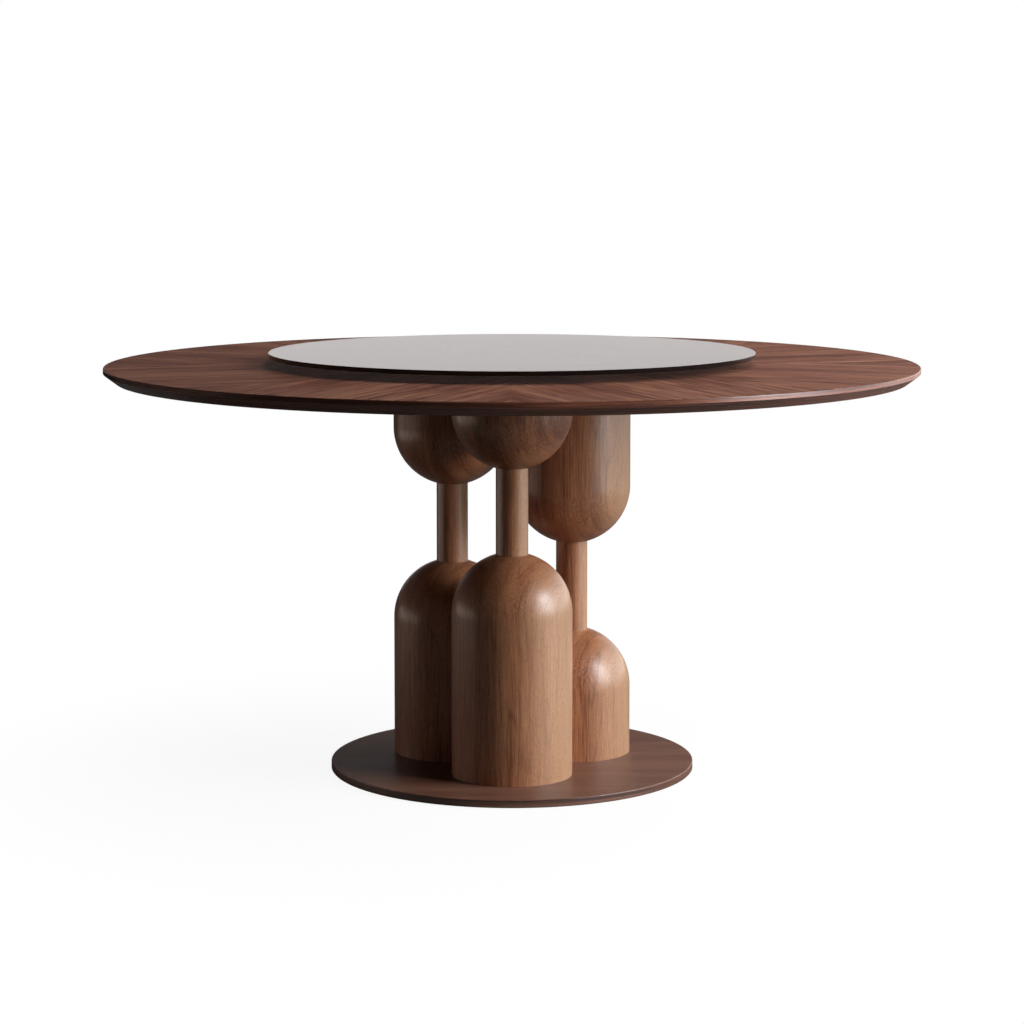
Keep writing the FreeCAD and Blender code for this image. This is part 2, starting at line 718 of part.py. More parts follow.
def make_all():
    return [
        make_tabletop_core(),
        make_tabletop_veneer(),
        make_underside_veneer(),
        make_tabletop_lipping(),
        make_mounting_plate(),
        make_mounting_plate_screws(),
        make_threaded_inserts(),
        *make_columns(),
        make_tie_rods(),
        make_nuts("tie_rod_head_nuts", NUT_SEAT),
        make_nuts("tie_rod_foot_nuts", WEIGHT_PLATE_TOP),
        make_washers(),
        make_column_screws("column_head_screws", PLATE_TOP,
                           f"({TOP_UNDERSIDE} - plug_thickness + wood_screw_cover)", "-"),
        make_column_screws("column_foot_screws", BASE_BOTTOM,
                           "(base_height + plug_thickness - wood_screw_cover)", "+"),
        make_base_board(),
        make_base_veneer(),
        make_base_lipping(),
        make_weight_plate(),
        make_glides(),
        make_glass(),
        make_pads("turntable_pads", UPPER_RING_OUTER, UPPER_RING_INNER,
                  f"({UPPER_RING_TOP} - pad_recess)"),
        make_bearing_ring("bearing_upper_ring", UPPER_RING_OUTER, UPPER_RING_INNER,
                          UPPER_RING_BOTTOM, f"({UPPER_RING_TOP} - pad_recess)", UPPER_RING_TOP),
        make_ball_cage(),
        make_balls(),
        make_bearing_ring("bearing_lower_ring", LOWER_RING_INNER, LOWER_RING_OUTER,
                          LOWER_RING_BOTTOM, LOWER_RING_BOTTOM,
                          f"({LOWER_RING_BOTTOM} + pad_recess)"),
        make_pads("bearing_feet", LOWER_RING_INNER, LOWER_RING_OUTER, "table_height"),
    ]


bodies = make_all()
doc.recompute()

for item in doc.Objects:
    if {"Invalid", "Error"} & set(item.State):
        raise RuntimeError(f"{item.Label} did not compute: {item.State}")
for body in bodies:
    if body.Shape.isNull() or not body.Shape.isValid() or not body.Shape.Solids:
        raise RuntimeError(f"{body.Label} has no valid shape")

os.makedirs("parts", exist_ok=True)
for body in bodies:
    body.Shape.exportStep(f"parts/{body.Label}.step")
    print(f"{body.Label}: {len(body.Shape.Solids)} solids, {body.Shape.Volume:.0f} mm3")
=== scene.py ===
"""The dining table with lazy susan: finishes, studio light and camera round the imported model.

Lengths are metres. Texture coordinates are the row frame's own, so every grain, pore and streak
below is given at its real size.
"""
import math

import bpy
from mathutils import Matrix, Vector


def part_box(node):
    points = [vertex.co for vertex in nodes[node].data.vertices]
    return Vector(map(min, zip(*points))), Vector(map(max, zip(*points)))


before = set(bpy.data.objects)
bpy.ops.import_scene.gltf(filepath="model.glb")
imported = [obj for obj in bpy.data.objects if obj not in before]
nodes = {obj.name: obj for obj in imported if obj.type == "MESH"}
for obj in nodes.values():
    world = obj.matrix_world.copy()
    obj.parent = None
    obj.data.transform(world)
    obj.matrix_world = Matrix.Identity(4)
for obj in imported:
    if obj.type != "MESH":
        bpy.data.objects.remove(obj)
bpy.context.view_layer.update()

COLUMNS = ("front", "right", "left")


# ---------------------------------------------------------------- node trees

NOISE_SPAN = (0.3, 0.7)             # where most values of a noise lie
NOISE_MIDDLE = 0.5


def linear(red, green, blue):
    """A colour given as 0 to 255 sRGB, as the linear RGBA that a socket takes."""
    def channel(value):
        value /= 255
        return value / 12.92 if value <= 0.04045 else ((value + 0.055) / 1.055) ** 2.4
    return (channel(red), channel(green), channel(blue), 1.0)


class Shading:
    """A node tree being built for a material or world, with a short call for each kind of node."""

    def __init__(self, owner, output_kind):
        owner.use_nodes = True
        self.tree = owner.node_tree
        self.tree.nodes.clear()
        self.output = self.tree.nodes.new(output_kind)

    def node(self, kind, **settings):
        made = self.tree.nodes.new(kind)
        for name, value in settings.items():
            setattr(made, name, value)
        return made

    def feed(self, socket, value):
        """Sets a socket to a number or colour, or joins it to another node's output."""
        if isinstance(value, bpy.types.NodeSocket):
            self.tree.links.new(value, socket)
        else:
            socket.default_value = value

    def place(self):
        """The point being shaded, in the row frame."""
        return self.node("ShaderNodeTexCoord").outputs["Object"]

    def radius(self):
        """The distance of that point from the table's axis."""
        x, y, _ = self.split(self.place())
        return self.maths("SQRT", self.maths("ADD", self.maths("MULTIPLY", x, x),
                                             self.maths("MULTIPLY", y, y)))

    def split(self, vector):
        parts = self.node("ShaderNodeSeparateXYZ")
        self.feed(parts.inputs[0], vector)
        return parts.outputs["X"], parts.outputs["Y"], parts.outputs["Z"]

    def join(self, x, y, z):
        whole = self.node("ShaderNodeCombineXYZ")
        for socket, value in zip(whole.inputs, (x, y, z)):
            self.feed(socket, value)
        return whole.outputs[0]

    def maths(self, operation, *values):
        made = self.node("ShaderNodeMath", operation=operation)
        for socket, value in zip(made.inputs, values):
            self.feed(socket, value)
        return made.outputs[0]

    def stretched(self, vector, scales, shift=(0, 0, 0)):
        """A vector with each axis scaled and then shifted."""
        made = self.node("ShaderNodeVectorMath", operation="MULTIPLY_ADD")
        self.feed(made.inputs[0], vector)
        self.feed(made.inputs[1], scales)
        self.feed(made.inputs[2], shift)
        return made.outputs[0]

    def turned(self, vector, angle):
        """A vector turned about the upright axis."""
        made = self.node("ShaderNodeVectorRotate", rotation_type="Z_AXIS")
        self.feed(made.inputs["Vector"], vector)
        self.feed(made.inputs["Angle"], angle)
        return made.outputs[0]

    def noise(self, vector, scale, detail=2.0, roughness=0.5, distortion=0.0, fourth=None):
        made = self.node("ShaderNodeTexNoise", noise_dimensions="3D" if fourth is None else "4D")
        self.feed(made.inputs["Vector"], vector)
        if fourth is not None:
            self.feed(made.inputs["W"], fourth)
        for name, value in (("Scale", scale), ("Detail", detail),
                            ("Roughness", roughness), ("Distortion", distortion)):
            self.feed(made.inputs[name], value)
        return made.outputs["Fac"]

    def layered(self, tone, noise, weight):
        """A tone with a noise laid over it, which lightens and darkens it alike."""
        off_middle = self.maths("SUBTRACT", noise, NOISE_MIDDLE)
        return self.maths("MULTIPLY_ADD", off_middle, weight, tone)

    def spread(self, value, low, high, to_low=0.0, to_high=1.0, smooth=False):
        """Maps low..high on to to_low..to_high, held at both ends."""
        made = self.node("ShaderNodeMapRange")
        if smooth:
            made.interpolation_type = "SMOOTHSTEP"
        for socket, number in zip(made.inputs, (value, low, high, to_low, to_high)):
            self.feed(socket, number)
        return made.outputs[0]

    def varied(self, noise, low, high):
        """A number that goes from low to high with a noise."""
        return self.spread(noise, *NOISE_SPAN, low, high)

    def blend(self, share, first, second):
        made = self.node("ShaderNodeMix", data_type="RGBA")
        self.feed(made.inputs["Factor"], share)
        self.feed(made.inputs[6], first)
        self.feed(made.inputs[7], second)
        return made.outputs[2]

    def ramp(self, value, stops):
        """A colour ramp from (position, colour) stops."""
        made = self.node("ShaderNodeValToRGB")
        elements = made.color_ramp.elements
        while len(elements) < len(stops):
            elements.new(0.5)
        for element, (position, colour) in zip(elements, stops):
            element.position = position
            element.color = colour
        self.feed(made.inputs[0], value)
        return made.outputs["Color"]

    def shaded(self, tone, dark, light, span=NOISE_SPAN):
        """A colour that goes from dark to light over a span of a tone."""
        return self.ramp(tone, list(zip(span, (dark, light))))

    def bump(self, height, distance, strength):
        made = self.node("ShaderNodeBump")
        self.feed(made.inputs["Distance"], distance)
        self.feed(made.inputs["Strength"], strength)
        self.feed(made.inputs["Height"], height)
        return made.outputs[0]

    def end(self, shader, socket="Surface"):
        self.tree.links.new(shader.outputs[0], self.output.inputs[socket])


class Finish(Shading):
    """A material being built."""

    def __init__(self, name):
        self.material = bpy.data.materials.new(name)
        super().__init__(self.material, "ShaderNodeOutputMaterial")

    def surface(self, **sockets):
        """Ends the tree in a Principled shader; a keyword is a socket's name in small letters."""
        shader = self.node("ShaderNodeBsdfPrincipled")
        names = {name.lower().replace(" ", "_"): name for name in shader.inputs.keys()}
        for name, value in sockets.items():
            self.feed(shader.inputs[names[name]], value)
        self.end(shader)
        return self.material


def give(material, *names):
    """Puts a material on CAD nodes."""
    for name in names:
        for slot in nodes[name].material_slots:
            slot.material = material


# ---------------------------------------------------------------- wood

STREAK_ROUGHNESS = 0.55             # of the noise that streaks are made of
FIGURE_WAVER = 0.3                  # its distortion, where it makes the figure
RINGS_IN_FIGURE = 11.0              # growth rings over the whole span of the coarsest figure
HALF_RING = 0.5
LINE_REACH = 0.12                   # how far a ring's dark line reaches to each side, in rings
PORE_EDGE = (0.58, 0.66)            # noise at which a pore begins and at which it is full depth
PORE_DEPTH = 0.00004
PORE_STRENGTH = 0.6
FIBRE_HEIGHT = 0.5                  # of the fibres, against a pore's depth
GLOSS_CHANGE = (-0.03, 0.04)        # in roughness, over one board
COAT_ROUGHNESS = 0.26
# A paler colour painted on the side of each column towards the windows, as painted light.
PAINTED_LIT_SIDE = linear(164, 136, 110)


class Grain:
    """Where a point lies in its plank.

    Each axis of the vector runs "across" the growth layers, "flat" in them or "along" the fibres.
    `fourth` is one more coordinate for the noise, the next is the share of a paler colour painted
    on the side towards the windows as painted light, and `shade` paints a whole part lighter, or
    darker where it is below 0, as painted light and shade.
    """

    def __init__(self, vector, axes, fourth=None, lit_side_paling=0.0, shade=0.0):
        self.vector = vector
        self.axes = axes
        self.fourth = fourth
        self.lit_side_paling = lit_side_paling
        self.shade = shade

    def streaks(self, finish, scale, flat, length, detail=2.0, distortion=0.0):
        """Noise drawn out into streaks, with `scale` of them to the metre across.

        A streak is `flat` times as wide and `length` times as long as it is thick.
        """
        share = {"across": 1.0, "flat": 1.0 / flat, "along": 1.0 / length}
        drawn_out = finish.stretched(self.vector, tuple(share[axis] for axis in self.axes))
        return finish.noise(drawn_out, scale, detail, STREAK_ROUGHNESS, distortion, self.fourth)


class Wood:
    """How one wood is toned, figured and lacquered.

    The tones go from the darkest streak to the lightest. A layer of figure is (cells to the metre
    across, width for thickness, length for thickness, weight). Pores are (cells to the metre
    across, length for width, darkness), and the line depth is how dark a growth ring's line is.
    """

    def __init__(self, tones, layers, roughness, specular, pores, line_depth, coat=0.0):
        self.tones = tones
        self.layers = layers
        self.roughness = roughness
        self.specular = specular
        self.pores = pores
        self.line_depth = line_depth
        self.coat = coat

    def finish(self, name, grain_of):
        """The wood as a material, with the grain that `grain_of` lays out."""
        finish = Finish(name)
        grain = grain_of(finish)
        fields = [grain.streaks(finish, scale, flat, length, distortion=FIGURE_WAVER)
                  for scale, flat, length, _ in self.layers]
        # Painted light and shade: the whole part is painted lighter or darker by its `shade`.
        tone = NOISE_MIDDLE + grain.shade
        for field, (_, _, _, weight) in zip(fields, self.layers):
            tone = finish.layered(tone, field, weight)
        ring = finish.maths("MULTIPLY", fields[0], RINGS_IN_FIGURE)
        off_line = finish.maths("PINGPONG", ring, HALF_RING)
        line = finish.spread(off_line, 0.0, LINE_REACH, 1.0, 0.0, smooth=True)
        tone = finish.maths("MULTIPLY_ADD", line, -self.line_depth, tone)
        last = len(self.tones) - 1
        stops = [(index / last, colour) for index, colour in enumerate(self.tones)]
        colour = finish.ramp(tone, stops)
        # Painted light: a paler colour on the side towards the windows.
        colour = finish.blend(grain.lit_side_paling, colour, PAINTED_LIT_SIDE)
        pore_scale, pore_length, darkness = self.pores
        pores = grain.streaks(finish, pore_scale, 1, pore_length, detail=1.0)
        pores = finish.spread(pores, *PORE_EDGE, smooth=True)
        colour = finish.blend(finish.maths("MULTIPLY", pores, darkness), colour, self.tones[0])
        fibres = finish.maths("MULTIPLY", fields[-1], FIBRE_HEIGHT)
        glossiest, dullest = (self.roughness + change for change in GLOSS_CHANGE)
        return finish.surface(
            base_color=colour,
            roughness=finish.varied(fields[1], glossiest, dullest),
            normal=finish.bump(finish.maths("SUBTRACT", fibres, pores), PORE_DEPTH, PORE_STRENGTH),
            specular_ior_level=self.specular,
            coat_weight=self.coat,
            coat_roughness=COAT_ROUGHNESS,
        )


TOP_WOOD = Wood(
    tones=[linear(64, 32, 25), linear(98, 58, 46), linear(127, 83, 66), linear(146, 102, 81)],
    layers=[(10, 4, 14, 0.9), (38, 4, 28, 1.4), (150, 4, 40, 1.9), (500, 1, 60, 2.5)],
    roughness=0.54, specular=0.28, pores=(700, 26, 0.45), line_depth=0.14)
EDGE_WOOD = Wood(
    tones=[linear(56, 29, 21), linear(84, 49, 36), linear(107, 63, 48), linear(130, 82, 62)],
    layers=[(20, 1, 14, 0.9), (90, 1, 40, 1.4), (330, 1, 90, 1.9), (800, 1, 120, 1.0)],
    roughness=0.24, specular=0.6, pores=(900, 60, 0.4), line_depth=0.15)
BASE_EDGE_WOOD = Wood(
    tones=[linear(64, 39, 30), linear(92, 58, 45), linear(112, 72, 58), linear(131, 90, 72)],
    layers=EDGE_WOOD.layers,
    roughness=0.42, specular=1.0, pores=(900, 60, 0.35), line_depth=0.1, coat=0.5)
BASE_WOOD = Wood(
    tones=[linear(76, 48, 38), linear(99, 65, 53), linear(115, 79, 65), linear(132, 93, 80)],
    layers=[(14, 2, 16, 0.9), (42, 2, 26, 0.9), (130, 2, 34, 0.7), (420, 1, 60, 0.6)],
    roughness=0.42, specular=0.45, pores=(600, 22, 0.3), line_depth=0.06)
BACKING_WOOD = Wood(
    tones=[linear(63, 39, 31), linear(84, 55, 44), linear(99, 67, 55), linear(119, 83, 69)],
    layers=BASE_WOOD.layers,
    roughness=0.6, specular=0.4, pores=(600, 22, 0.4), line_depth=0.06)
COLUMN_WOOD = Wood(
    tones=[linear(105, 60, 40), linear(148, 93, 63), linear(171, 114, 80), linear(186, 133, 97)],
    layers=[(16, 8, 14, 0.9), (60, 6, 26, 0.8), (190, 4, 40, 0.4), (560, 1, 36, 1.4)],
    roughness=0.46, specular=0.45, pores=(800, 6, 0.4), line_depth=0.2, coat=0.6)

LEAF_COUNT = 8
LEAF_ANGLE = 2 * math.pi / LEAF_COUNT
FRONT_SEAM = math.radians(-90)
LEAF_STEP = 0.0015                  # how far apart neighbouring leaves were cut from the wood

# The azimuth in degrees that a column's growth layers face, towards the windows, where its paler
# colour is painted as painted light, and what each part adds to the column's number to make its
# seed.
COLUMN_FACING = {"front": 64, "right": 70, "left": 58}
COLUMN_PARTS = {"lower_column": 0.0, "neck": 0.3, "upper_column": 0.6}
PLANK_OFFSET = (3.7, 1.9, 0.6)      # how far seed 1 is from seed 0 in the wood
# Painted light and shade per part: darker under the top and nearest the windows, necks lighter.
PAINTED_PART_SHADING = {"right_lower_column": -0.08, "right_upper_column": -0.06, "left_neck": 0.03,
               "left_upper_column": -0.06, "front_neck": 0.06, "front_upper_column": -0.2}
# The paler colour painted towards the windows: its greatest share, and where it begins.
PAINTED_LIT_SIDE_SHARE = 0.55
PAINTED_LIT_SIDE_START = 0.5                 # part of the radius where it begins
# Parts in the shade under the top, which get no painted lit side.
NO_PAINTED_LIT_SIDE = ("front_upper_column", "left_upper_column")


def upright(name, seed, facing):
    """Grain that stands upright in a turned part; the seed picks its plank.

    The growth layers face an azimuth towards the windows, and a paler colour is painted on that
    side as painted light.
    """
    turn = math.radians(90 - facing)
    low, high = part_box(name)
    centre = (Vector(low) + Vector(high)) / 2
    radius = (high[0] - low[0]) / 2
    middle = centre.x * math.cos(turn) - centre.y * math.sin(turn)
    # Share of the painted lit side; none on parts in the shade under the top.
    most = 0.0 if name in NO_PAINTED_LIT_SIDE else PAINTED_LIT_SIDE_SHARE

    def grain_of(finish):
        place = finish.turned(finish.place(), turn)
        plank = finish.stretched(place, (1.0, 1.0, 1.0), [seed * step for step in PLANK_OFFSET])
        across, _, _ = finish.split(place)
        lit_side_paling = finish.spread(across, middle + PAINTED_LIT_SIDE_START * radius, middle + radius, 0.0, most)
        return Grain(plank, ("across", "flat", "along"), None, lit_side_paling, PAINTED_PART_SHADING.get(name, 0.0))
    return grain_of


def sideways(finish):
    """Grain that runs from side to side."""
    return Grain(finish.place(), ("along", "across", "across"))


def sunburst(finish):
    """Grain along the middle of each leaf, turned over from leaf to leaf so that seams match."""
    x, y, _ = finish.split(finish.place())
    radius = finish.radius()
    from_seam = finish.maths("SUBTRACT", finish.maths("ARCTAN2", y, x), FRONT_SEAM)
    leaves = finish.maths("DIVIDE", from_seam, LEAF_ANGLE)
    folded = finish.maths("PINGPONG", leaves, 1.0)
    off_middle = finish.maths("MULTIPLY", finish.maths("SUBTRACT", folded, 0.5), LEAF_ANGLE)
    across = finish.maths("MULTIPLY", radius, finish.maths("SINE", off_middle))
    along = finish.maths("MULTIPLY", radius, finish.maths("COSINE", off_middle))
    leaf = finish.maths("MULTIPLY", finish.maths("FLOOR", leaves), LEAF_STEP)
    return Grain(finish.join(across, 0.0, along), ("across", "flat", "along"), leaf)


def round_the_rim(finish):
    """Grain that follows the rim of a disc."""
    return Grain(finish.place(), ("along", "along", "across"), finish.radius())


def dress_wood():
    give(TOP_WOOD.finish("top_veneer", sunburst), "tabletop_veneer_leaves")
    give(EDGE_WOOD.finish("edge_wood", round_the_rim), "tabletop_edge_lipping")
    give(BASE_EDGE_WOOD.finish("base_edge_wood", round_the_rim), "base_edge_lipping")
    give(BASE_WOOD.finish("base_veneer", sideways), "base_veneer")
    give(BACKING_WOOD.finish("backing_veneer", sideways), "tabletop_underside_veneer")
    for number, column in enumerate(COLUMNS, 1):
        for part, step in COLUMN_PARTS.items():
            name = f"{column}_{part}"
            grain_of = upright(name, number + step, COLUMN_FACING[column])
            give(COLUMN_WOOD.finish(name, grain_of), name)


# ---------------------------------------------------------------- boards, metals and plastics

PLY_THICKNESS = 0.0015
PLY_EDGE = (0.45, 0.55)             # of a ply, where the next one shows
PLY_TONES = (0.15, 0.85)
CLOUD_WEIGHT = 0.6                  # of the slow change in colour, against the fine marks
FAINT_WEIGHT = 0.4
METAL_GLOSS = (-0.06, 0.08)         # changes in roughness over one piece
MOULD_GLOSS = (-0.06, 0.06)


def fibreboard():
    """Pressed fibres: short pale and dark flecks in a brown board."""
    finish = Finish("fibreboard")
    flecks = finish.noise(finish.stretched(finish.place(), (1, 1, 3)), scale=900, detail=3.0)
    cloud = finish.noise(finish.place(), scale=30)
    return finish.surface(
        base_color=finish.shaded(finish.layered(flecks, cloud, CLOUD_WEIGHT),
                                 linear(128, 99, 70), linear(176, 146, 110)),
        roughness=finish.varied(flecks, 0.8, 0.92),
        normal=finish.bump(flecks, distance=0.0002, strength=0.7),
        specular_ior_level=0.3,
    )


def plywood():
    """Upright plugs sawn from birch plywood: plies show as bands on the sides."""
    finish = Finish("plywood")
    _, _, height = finish.split(finish.place())
    ply = finish.maths("PINGPONG", finish.maths("DIVIDE", height, PLY_THICKNESS), 1.0)
    crossed = finish.spread(ply, *PLY_EDGE)
    fibres = finish.noise(finish.stretched(finish.place(), (1 / 40, 1, 1)), scale=500)
    tone = finish.maths("MULTIPLY_ADD", crossed, 0.5, finish.maths("MULTIPLY", fibres, 0.5))
    return finish.surface(
        base_color=finish.shaded(tone, linear(168, 128, 84), linear(222, 192, 150), PLY_TONES),
        roughness=finish.varied(fibres, 0.66, 0.8),
        normal=finish.bump(fibres, distance=0.0001, strength=0.5),
    )


def powder_coat():
    """Black powder coat with its fine orange peel."""
    finish = Finish("black_steel")
    peel = finish.noise(finish.place(), scale=550, roughness=0.4)
    cloud = finish.noise(finish.place(), scale=18)
    return finish.surface(
        base_color=finish.shaded(cloud, linear(34, 34, 36), linear(46, 46, 48)),
        roughness=finish.varied(peel, 0.42, 0.54),
        normal=finish.bump(peel, distance=0.00008, strength=0.7),
    )


def turned_aluminium():
    """Anodised aluminium with the fine rings that turning leaves."""
    finish = Finish("bearing_aluminium")
    rings = finish.noise(finish.join(finish.radius(), 0.0, 0.0), scale=2600)
    cloud = finish.noise(finish.place(), scale=40)
    return finish.surface(
        base_color=finish.shaded(finish.layered(rings, cloud, FAINT_WEIGHT),
                                 linear(170, 171, 174), linear(206, 207, 210)),
        metallic=1.0,
        roughness=finish.varied(rings, 0.26, 0.38),
        normal=finish.bump(rings, distance=0.00002, strength=0.5),
    )


def metal(name, dark, light, scale, roughness, depth, drawn=(1, 1, 1)):
    """Bare metal with `scale` marks to the metre; `drawn` crowds them along each axis."""
    finish = Finish(name)
    marks = finish.noise(finish.stretched(finish.place(), drawn), scale, detail=3.0)
    cloud = finish.noise(finish.place(), scale=60)
    glossiest, dullest = (roughness + change for change in METAL_GLOSS)
    return finish.surface(
        base_color=finish.shaded(finish.layered(marks, cloud, CLOUD_WEIGHT), dark, light),
        metallic=1.0,
        roughness=finish.varied(marks, glossiest, dullest),
        normal=finish.bump(marks, distance=depth, strength=0.5),
    )


def moulded(name, dark, light, scale, roughness, depth, specular=0.5):
    """A moulded plastic or rubber with the fine texture of its mould."""
    finish = Finish(name)
    texture = finish.noise(finish.place(), scale, detail=3.0)
    cloud = finish.noise(finish.place(), scale=45)
    glossiest, dullest = (roughness + change for change in MOULD_GLOSS)
    return finish.surface(
        base_color=finish.shaded(finish.layered(cloud, texture, FAINT_WEIGHT), dark, light),
        roughness=finish.varied(texture, glossiest, dullest),
        normal=finish.bump(texture, distance=depth, strength=0.6),
        specular_ior_level=specular,
    )


def dress_boards_and_hardware():
    plugs = [f"{column}_{end}_plug" for column in COLUMNS for end in ("foot", "head")]
    give(fibreboard(), "tabletop_core", "base_board")
    give(plywood(), *plugs)
    give(powder_coat(), "mounting_plate", "base_weight_plate")
    give(metal("black_screws", linear(38, 38, 40), linear(58, 58, 60),
               scale=900, roughness=0.42, depth=0.00002),
         "mounting_plate_screws")
    give(metal("brass", linear(188, 152, 84), linear(216, 182, 110),
               scale=1400, roughness=0.3, depth=0.00002, drawn=(1, 1, 6)),
         "threaded_inserts")
    give(metal("zinc_steel", linear(168, 170, 174), linear(204, 206, 208),
               scale=500, roughness=0.34, depth=0.00002),
         "tie_rods", "tie_rod_head_nuts", "tie_rod_foot_nuts", "tie_rod_washers",
         "column_head_screws", "column_foot_screws")
    give(metal("ball_steel", linear(196, 198, 200), linear(214, 216, 218),
               scale=300, roughness=0.12, depth=0.000004),
         "bearing_balls")
    give(turned_aluminium(), "bearing_upper_ring", "bearing_lower_ring")
    give(moulded("nylon", linear(40, 39, 38), linear(54, 53, 52),
                 scale=700, roughness=0.5, depth=0.00004),
         "floor_glides")
    give(moulded("silicone", linear(196, 199, 200), linear(214, 217, 219),
                 scale=500, roughness=0.45, depth=0.00003, specular=0.4),
         "turntable_pads", "bearing_feet")
    give(moulded("cage_plastic", linear(220, 219, 214), linear(236, 235, 231),
                 scale=800, roughness=0.45, depth=0.00003),
         "bearing_ball_cage")


# ---------------------------------------------------------------- glass

GLASS_RIM_WIDTH = 0.002
GLASS_RIM_BLACK = linear(6, 6, 7)
GLASS_RIM_ROUGHNESS = 0.08
GLASS_CLEAR = linear(255, 255, 255)
GLASS_TINT = (0.30, 0.25, 0.24, 1.0)
GLASS_DENSITY = 120.0
GLASS_IOR = 1.5


def tinted_glass():
    """Grey glass whose rim is black, as glass is where it is seen through its whole width."""
    finish = Finish("tinted_glass")
    _, (edge, _, _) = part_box("glass_turntable")
    inside = finish.spread(finish.radius(), edge - GLASS_RIM_WIDTH, edge - GLASS_RIM_WIDTH / 2,
                           1.0, 0.0)
    material = finish.surface(
        base_color=finish.blend(inside, GLASS_RIM_BLACK, GLASS_CLEAR),
        roughness=finish.spread(inside, 0.0, 1.0, GLASS_RIM_ROUGHNESS, 0.0),
        ior=GLASS_IOR,
        transmission_weight=inside,
    )
    absorption = finish.node("ShaderNodeVolumeAbsorption")
    finish.feed(absorption.inputs["Color"], GLASS_TINT)
    finish.feed(absorption.inputs["Density"], GLASS_DENSITY)
    finish.end(absorption, "Volume")
    return material


# ---------------------------------------------------------------- studio

WHITE = (1.0, 1.0, 1.0, 1.0)

BRIGHT_SIDE = (0.85, 0.53, 0.0)     # the way to the bright wall
BRIGHT_TURN = (0.0, 0.45)           # share of that way where the bright wall begins and is full
WALL_LEVEL = 0.75
DIM_WALL_LEVEL = 0.08
GLOW_TURN = (0.2, 0.7)              # share of +x where the windows' glow begins and is full
WINDOW_GLOW = 0.45
WALL_TOP = (0.07, 0.22)             # rise at which the wall ends and the ceiling is reached
CEILING_LEVEL = 0.06
AMBIENT_LEVEL = 0.012
WALL_TINT = (1.0, 0.955, 0.945, 1.0)

FLOOR_SIZE = 60
FLOOR_BOUNCE = 0.09                 # the floor's reflectance for light on the table,
FLOOR_GLOSS = 0.11                  # in the table's gloss
FLOOR_SEEN = 0.9                    # and for the camera
FLOOR_FADE = (0.40, 1.2)            # radii between which it turns into the background
FLOOR_GLOW = 0.92                   # how much of the background's white it has inside them

DAYLIGHT = (0.97, 1.02, 1.0)
SKYLIGHT = (0.82, 1.02, 1.16)
LAMPLIGHT = (1.0, 0.8, 0.68)
FLOORLIGHT = (1.0, 0.62, 0.46)
EDGES = ["tabletop_edge_lipping", "base_edge_lipping"]
COLUMNS_AND_EDGES = [f"{column}_{part}" for column in COLUMNS for part in COLUMN_PARTS] + EDGES

SENSOR_WIDTH = 36.0                 # millimetres
FOCAL_PIXELS = 2710.3               # the fitted focal length, in pixels of the frame
FRAME_PIXELS = 1024
CAMERA_SHIFT = -0.15
CAMERA_PLACE = (0.0, -5.0045, 1.1616)
CAMERA_DIP = 4.54                   # degrees below level


def make_world():
    """White for the camera; in reflections walls at eye height under a dim ceiling.

    The walls are bright on one side and have the windows' glow at +x.
    """
    world = bpy.data.worlds.new("studio")
    bpy.context.scene.world = world
    shading = Shading(world, "ShaderNodeOutputWorld")
    rays = shading.node("ShaderNodeLightPath").outputs
    direction = shading.node("ShaderNodeTexCoord").outputs["Generated"]
    east, _, rise = shading.split(direction)
    facing = shading.node("ShaderNodeVectorMath", operation="DOT_PRODUCT")
    shading.feed(facing.inputs[0], direction)
    shading.feed(facing.inputs[1], BRIGHT_SIDE)
    wall = shading.spread(facing.outputs["Value"], *BRIGHT_TURN, DIM_WALL_LEVEL, WALL_LEVEL,
                          smooth=True)
    glow = shading.spread(east, *GLOW_TURN, 0.0, WINDOW_GLOW, smooth=True)
    wall = shading.maths("ADD", wall, glow)
    room = shading.spread(rise, *WALL_TOP, wall, CEILING_LEVEL, smooth=True)
    reflected = shading.maths("MAXIMUM", rays["Is Glossy Ray"], rays["Is Transmission Ray"])
    level = shading.spread(reflected, 0.0, 1.0, AMBIENT_LEVEL, room)
    level = shading.spread(rays["Is Camera Ray"], 0.0, 1.0, level, 1.0)
    background = shading.node("ShaderNodeBackground")
    shading.feed(background.inputs["Strength"], level)
    shading.feed(background.inputs["Color"], shading.blend(reflected, WHITE, WALL_TINT))
    shading.end(background)


def make_floor():
    """A pale floor that fades to the white background away from the table and keeps its shadow."""
    bpy.ops.mesh.primitive_plane_add(size=FLOOR_SIZE)
    floor = bpy.context.object
    floor.name = "studio_floor"
    finish = Finish("studio_floor")
    rays = finish.node("ShaderNodeLightPath").outputs
    seen = rays["Is Camera Ray"]
    given = finish.spread(rays["Is Glossy Ray"], 0.0, 1.0, FLOOR_BOUNCE, FLOOR_GLOSS)
    white = finish.spread(finish.radius(), *FLOOR_FADE, FLOOR_GLOW, 1.0, smooth=True)
    diffuse = finish.node("ShaderNodeBsdfDiffuse")
    finish.feed(diffuse.inputs["Color"], finish.spread(seen, 0.0, 1.0, given, FLOOR_SEEN))
    emission = finish.node("ShaderNodeEmission")
    finish.feed(emission.inputs["Color"], WHITE)
    mix = finish.node("ShaderNodeMixShader")
    parts = (finish.maths("MULTIPLY", seen, white), diffuse.outputs[0], emission.outputs[0])
    for socket, part in zip(mix.inputs, parts):
        finish.feed(socket, part)
    finish.end(mix)
    floor.data.materials.append(finish.material)


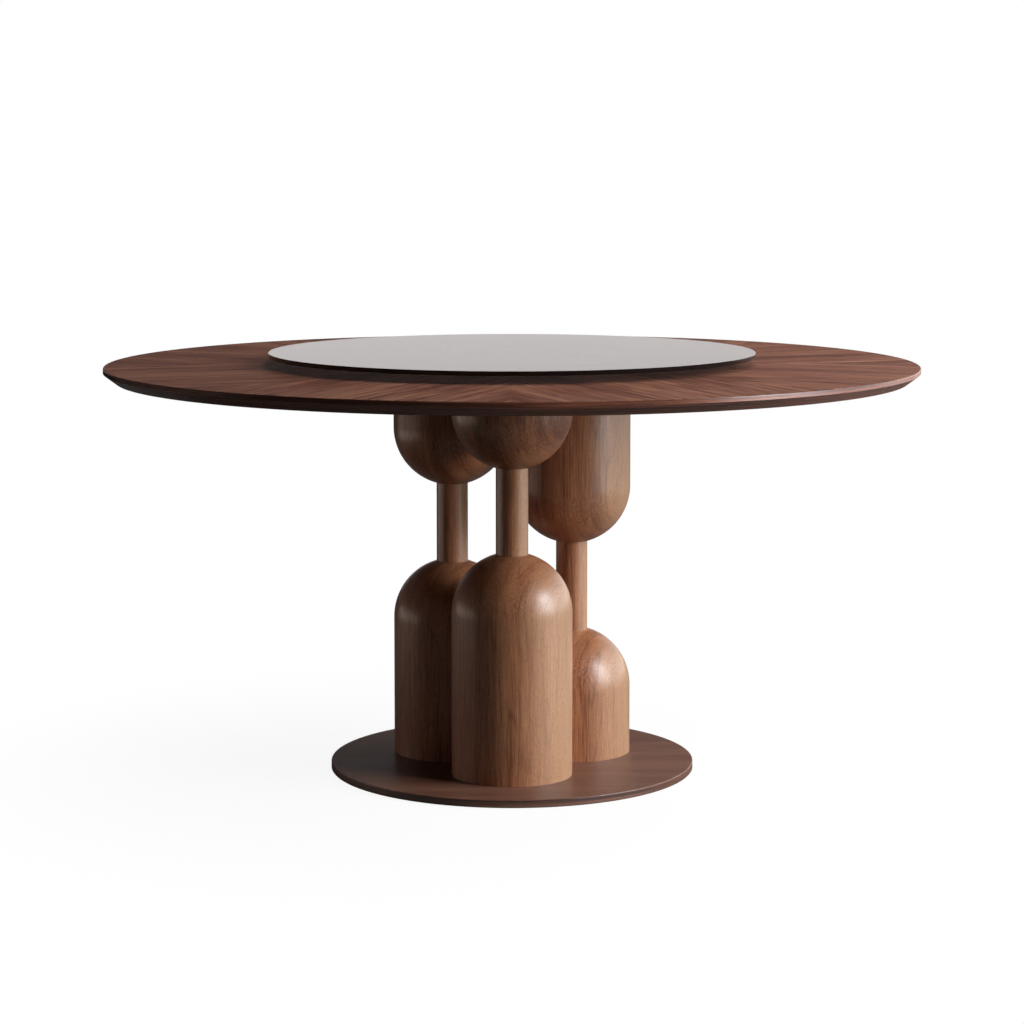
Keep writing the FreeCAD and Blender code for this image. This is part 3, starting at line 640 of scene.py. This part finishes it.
def softbox(name, centre, target, size, radiance, colour=WHITE[:3], unseen_by=(), only_on=()):
    """A rectangular area light of a given radiance, facing its target.

    Rays of the kinds in `unseen_by` don't meet it, and `only_on` names the only nodes that it
    lights, where it doesn't light them all.
    """
    width, height = size
    data = bpy.data.lights.new(name, "AREA")
    data.shape = "RECTANGLE"
    data.size = width
    data.size_y = height
    data.energy = radiance * math.pi * width * height
    data.color = colour
    light = bpy.data.objects.new(name, data)
    light.location = centre
    aim = Vector(target) - Vector(centre)
    light.rotation_euler = aim.to_track_quat("-Z", "Y").to_euler()
    for kind in ("camera", *unseen_by):
        setattr(light, f"visible_{kind}", False)
    bpy.context.scene.collection.objects.link(light)
    if only_on:
        receivers = bpy.data.collections.new(f"{name}_receivers")
        for node in only_on:
            receivers.objects.link(nodes[node])
        light.light_linking.receiver_collection = receivers


def make_lights():
    """Windows at the right, fill from the other sides, and glints low down for the edges.

    Each window is one lamp for the light it gives and others, up to 10 cm nearer, for its sheen,
    because sheen on the flat tops would turn them white where they are seen against the windows.
    """
    sheen = {"colour": SKYLIGHT, "unseen_by": ["diffuse"], "only_on": COLUMNS_AND_EDGES}
    softbox("front_window", (3.0, -1.25, 1.75), (0.0, -1.25, 1.75),
            size=(1.8, 2.5), radiance=16.4, colour=DAYLIGHT, unseen_by=["glossy"])
    softbox("window_sky", (2.95, -1.25, 1.75), (0.0, -1.25, 1.75),
            size=(1.8, 2.5), radiance=6.5, **sheen)
    softbox("window_sun", (2.9, -1.25, 1.85), (0.0, -1.25, 1.85),
            size=(1.2, 1.2), radiance=5.5, **sheen)
    softbox("back_window_sky", (2.95, 0.9, 1.6), (0.0, 0.9, 1.6),
            size=(2.5, 2.4), radiance=1.5, **sheen)
    softbox("low_right", (2.3, -1.0, 0.2), (0.0, -0.4, 0.7),
            size=(2.4, 0.4), radiance=3.6, colour=FLOORLIGHT, only_on=["tabletop_edge_lipping"])
    softbox("back_window", (3.0, 0.9, 1.6), (0.0, 0.9, 1.6),
            size=(2.5, 2.2), radiance=3.6, colour=DAYLIGHT, unseen_by=["glossy"])
    softbox("back_wall", (2.5, 3.4, 1.5), (0.0, 0.0, 1.5), size=(2.4, 2.4), radiance=0.8)
    softbox("ceiling", (1.2, 0.3, 3.2), (1.2, 0.3, 0.0),
            size=(2.4, 2.4), radiance=2.85, unseen_by=["glossy", "transmission"])
    softbox("low_left", (-2.2, 0.35, 0.2), (0.0, 0.35, 0.2),
            size=(2.4, 0.4), radiance=1.45, colour=LAMPLIGHT)
    softbox("back_fill", (0.0, 3.4, 1.1), (0.0, 0.0, 0.5),
            size=(2.4, 1.2), radiance=1.8, unseen_by=["glossy"])


def make_camera():
    data = bpy.data.cameras.new("camera")
    data.sensor_width = SENSOR_WIDTH
    data.lens = FOCAL_PIXELS / FRAME_PIXELS * SENSOR_WIDTH
    data.shift_y = CAMERA_SHIFT
    camera = bpy.data.objects.new("camera", data)
    camera.location = CAMERA_PLACE
    camera.rotation_euler = (math.radians(90 - CAMERA_DIP), 0, 0)
    bpy.context.scene.collection.objects.link(camera)
    bpy.context.scene.camera = camera


dress_wood()
dress_boards_and_hardware()
give(tinted_glass(), "glass_turntable")
make_world()
make_floor()
make_lights()
make_camera()
bpy.context.scene.view_settings.view_transform = "Standard"
